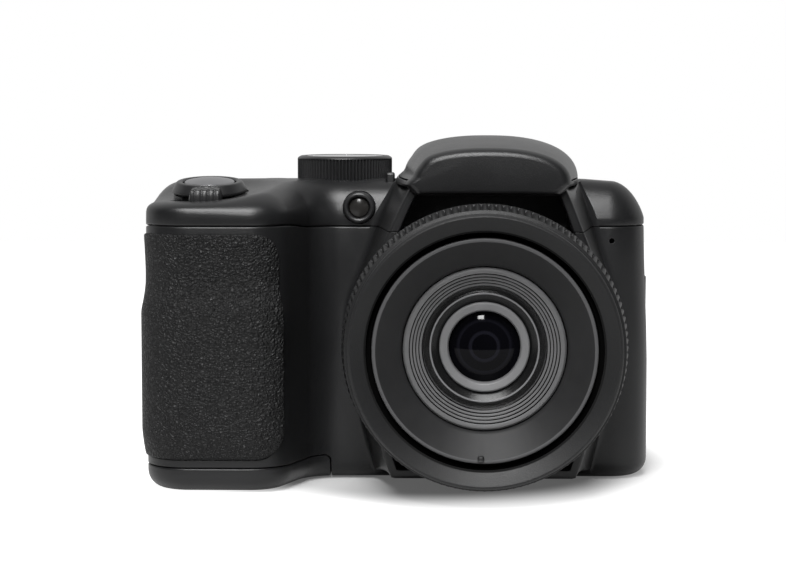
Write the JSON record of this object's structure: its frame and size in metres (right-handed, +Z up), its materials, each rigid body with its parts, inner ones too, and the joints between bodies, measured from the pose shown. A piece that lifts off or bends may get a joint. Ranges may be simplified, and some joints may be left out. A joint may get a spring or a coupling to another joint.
{
  "type": "bridge camera",
  "caption": "Black bridge camera with a rubber-covered battery grip, telescoping zoom lens in a knurled ring, pop-up flash, mode dial, zoom lever, keys and tripod socket.",
  "frame": {"origin": "mouth of the tripod socket, in the plane of the base", "axes": "+X to the right seen from the front, along the body's width; -Y along the lens, towards the subject; +Z up"},
  "size_m": [0.1168, 0.0818, 0.0794],
  "materials": {
    "shell_black": "fine satin moulding",
    "grip_rubber": "leather grain",
    "control_black": "satin",
    "record_red": "gloss",
    "shutter_metal": "satin",
    "lens_black": "satin",
    "cam_metal": "satin",
    "lens_glass": "coated",
    "lamp_glass": "clear",
    "screen_gloss": "gloss",
    "bright_metal": "bright",
    "screw_steel": "blackened",
    "inner_plastic": "matt",
    "board_green": "lacquered",
    "cell_jacket": "printed jacket"
  },
  "bodies": {
    "body": {"front_shell": "shell_black", "rear_shell": "shell_black", "top_cover": "shell_black", "grip_skin": "grip_rubber", "thumb_rest": "grip_rubber", "chassis": "cam_metal", "circuit_boards": "board_green", "image_sensor": "inner_plastic", "ir_filter": "lens_glass", "lens_base": "lens_black", "lens_ring": "lens_black", "guide_rods": "cam_metal", "zoom_motor": "cam_metal", "battery_box": "inner_plastic", "aa_cells": "cell_jacket", "contact_springs": "bright_metal", "door_hinge_pin": "bright_metal", "card_socket": "bright_metal", "memory_card": "inner_plastic", "screen_panel": "screen_gloss", "screen_window": "screen_gloss", "flash_hinge_pin": "bright_metal", "flash_spring": "bright_metal", "flash_capacitor": "inner_plastic", "lamp_bezel": "control_black", "lamp_lens": "lamp_glass", "strap_lugs": "bright_metal", "tripod_bush": "bright_metal", "usb_socket": "bright_metal", "screws": "screw_steel"},
    "zoom_barrel": {"zoom_barrel": "lens_black"},
    "inner_barrel": {"inner_barrel": "lens_black", "front_retainer": "cam_metal", "front_glass": "lens_glass"},
    "cam_ring": {"cam_ring": "cam_metal"},
    "drive_pinion": {"drive_pinion": "cam_metal"},
    "variator": {"variator_group": "lens_black"},
    "focus": {"focus_group": "lens_black"},
    "flash_head": {"flash_head": "shell_black", "flash_window": "lamp_glass", "flash_reflector": "bright_metal", "flash_tube": "lamp_glass"},
    "flash_button": {"flash_button": "control_black"},
    "shutter_button": {"shutter_button": "shutter_metal"},
    "zoom_lever": {"zoom_lever": "control_black"},
    "mode_dial": {"mode_dial": "control_black", "dial_disc": "shutter_metal"},
    "power_button": {"power_button": "control_black"},
    "burst_button": {"burst_button": "control_black"},
    "record_button": {"record_button": "record_red"},
    "menu_button": {"menu_button": "control_black"},
    "play_button": {"play_button": "control_black"},
    "delete_button": {"delete_button": "control_black"},
    "pad_rocker": {"pad_rocker": "control_black"},
    "four_way_pad": {"four_way_pad": "control_black"},
    "set_button": {"set_button": "control_black"},
    "battery_door": {"battery_door": "shell_black", "door_contact": "bright_metal"},
    "door_latch": {"door_latch": "control_black"},
    "port_cover": {"port_cover": "shell_black"}
  },
  "joints": [
    {"name": "zoom_slide", "type": "slide", "parent": "body", "child": "zoom_barrel", "axis": [0, -1, 0], "range_m": [0, 0.026]},
    {"name": "inner_slide", "type": "slide", "parent": "zoom_barrel", "child": "inner_barrel", "axis": [0, -1, 0], "range_m": [0, 0.0201]},
    {"name": "cam_turn", "type": "hinge", "parent": "body", "child": "cam_ring", "pos_m": [0.0198, -0.03, 0.0345], "axis": [0, -1, 0], "range_deg": [0, 111]},
    {"name": "pinion_turn", "type": "hinge", "parent": "body", "child": "drive_pinion", "pos_m": [-0.00194, -0.012, 0.05624], "axis": [0, -1, 0], "range_deg": [-538, 0]},
    {"name": "variator_slide", "type": "slide", "parent": "body", "child": "variator", "axis": [0, -1, 0], "range_m": [0, 0.0141]},
    {"name": "focus_slide", "type": "slide", "parent": "body", "child": "focus", "axis": [0, -1, 0], "range_m": [0, 0.004]},
    {"name": "flash_lift", "type": "hinge", "parent": "body", "child": "flash_head", "pos_m": [0.0206, 0.008, 0.0714], "axis": [-1, 0, 0], "range_deg": [0, 65]},
    {"name": "flash_press", "type": "slide", "parent": "body", "child": "flash_button", "axis": [0, 0, -1], "range_m": [0, 0.0008], "stiffness_N_per_m": 600},
    {"name": "shutter_press", "type": "slide", "parent": "body", "child": "shutter_button", "axis": [0, 0.1191, -0.9929], "range_m": [0, 0.0012], "stiffness_N_per_m": 600},
    {"name": "lever_turn", "type": "hinge", "parent": "body", "child": "zoom_lever", "pos_m": [-0.0427, -0.021, 0.06702], "axis": [0, -0.1191, 0.9929], "range_deg": [-15, 15], "stiffness_Nm_per_rad": 0.05},
    {"name": "dial_turn", "type": "hinge", "parent": "body", "child": "mode_dial", "pos_m": [-0.0127, -0.001, 0.0722], "axis": [0, 0, 1], "continuous": true},
    {"name": "power_press", "type": "slide", "parent": "body", "child": "power_button", "axis": [0, 0, -1], "range_m": [0, 0.0004], "stiffness_N_per_m": 600},
    {"name": "burst_press", "type": "slide", "parent": "body", "child": "burst_button", "axis": [0, 0, -1], "range_m": [0, 0.0004], "stiffness_N_per_m": 600},
    {"name": "record_press", "type": "slide", "parent": "body", "child": "record_button", "axis": [0, -1, 0], "range_m": [0, 0.0004], "stiffness_N_per_m": 600},
    {"name": "menu_press", "type": "slide", "parent": "body", "child": "menu_button", "axis": [0, -1, 0], "range_m": [0, 0.0004], "stiffness_N_per_m": 600},
    {"name": "play_press", "type": "slide", "parent": "body", "child": "play_button", "axis": [0, -1, 0], "range_m": [0, 0.0004], "stiffness_N_per_m": 600},
    {"name": "delete_press", "type": "slide", "parent": "body", "child": "delete_button", "axis": [0, -1, 0], "range_m": [0, 0.0004], "stiffness_N_per_m": 600},
    {"name": "set_press", "type": "slide", "parent": "body", "child": "set_button", "axis": [0, -1, 0], "range_m": [0, 0.0004], "stiffness_N_per_m": 600},
    {"name": "pad_sideways", "type": "hinge", "parent": "body", "child": "pad_rocker", "pos_m": [-0.036, 0.0135, 0.028], "axis": [0, 0, 1], "range_deg": [-2.5, 2.5], "stiffness_Nm_per_rad": 0.2},
    {"name": "pad_updown", "type": "hinge", "parent": "pad_rocker", "child": "four_way_pad", "pos_m": [-0.036, 0.0135, 0.028], "axis": [1, 0, 0], "range_deg": [-2.5, 2.5], "stiffness_Nm_per_rad": 0.2},
    {"name": "door_open", "type": "hinge", "parent": "body", "child": "battery_door", "pos_m": [-0.0169, 0, 0.0014], "axis": [0, -1, 0], "range_deg": [0, 95]},
    {"name": "latch_slide", "type": "slide", "parent": "battery_door", "child": "door_latch", "axis": [0, 1, 0], "range_m": [0, 0.003]},
    {"name": "port_open", "type": "hinge", "parent": "body", "child": "port_cover", "pos_m": [0.0577, 0.0063, 0.04], "axis": [0, 0, 1], "range_deg": [0, 100]}
  ],
  "couplings": [
    {"joint": "inner_slide", "follows": "zoom_slide", "ratio": 0.769},
    {"joint": "cam_turn", "follows": "zoom_slide", "rad_per_m": 73.841},
    {"joint": "pinion_turn", "follows": "zoom_slide", "rad_per_m": -358.66},
    {"joint": "variator_slide", "follows": "zoom_slide", "ratio": 0.538}
  ]
}
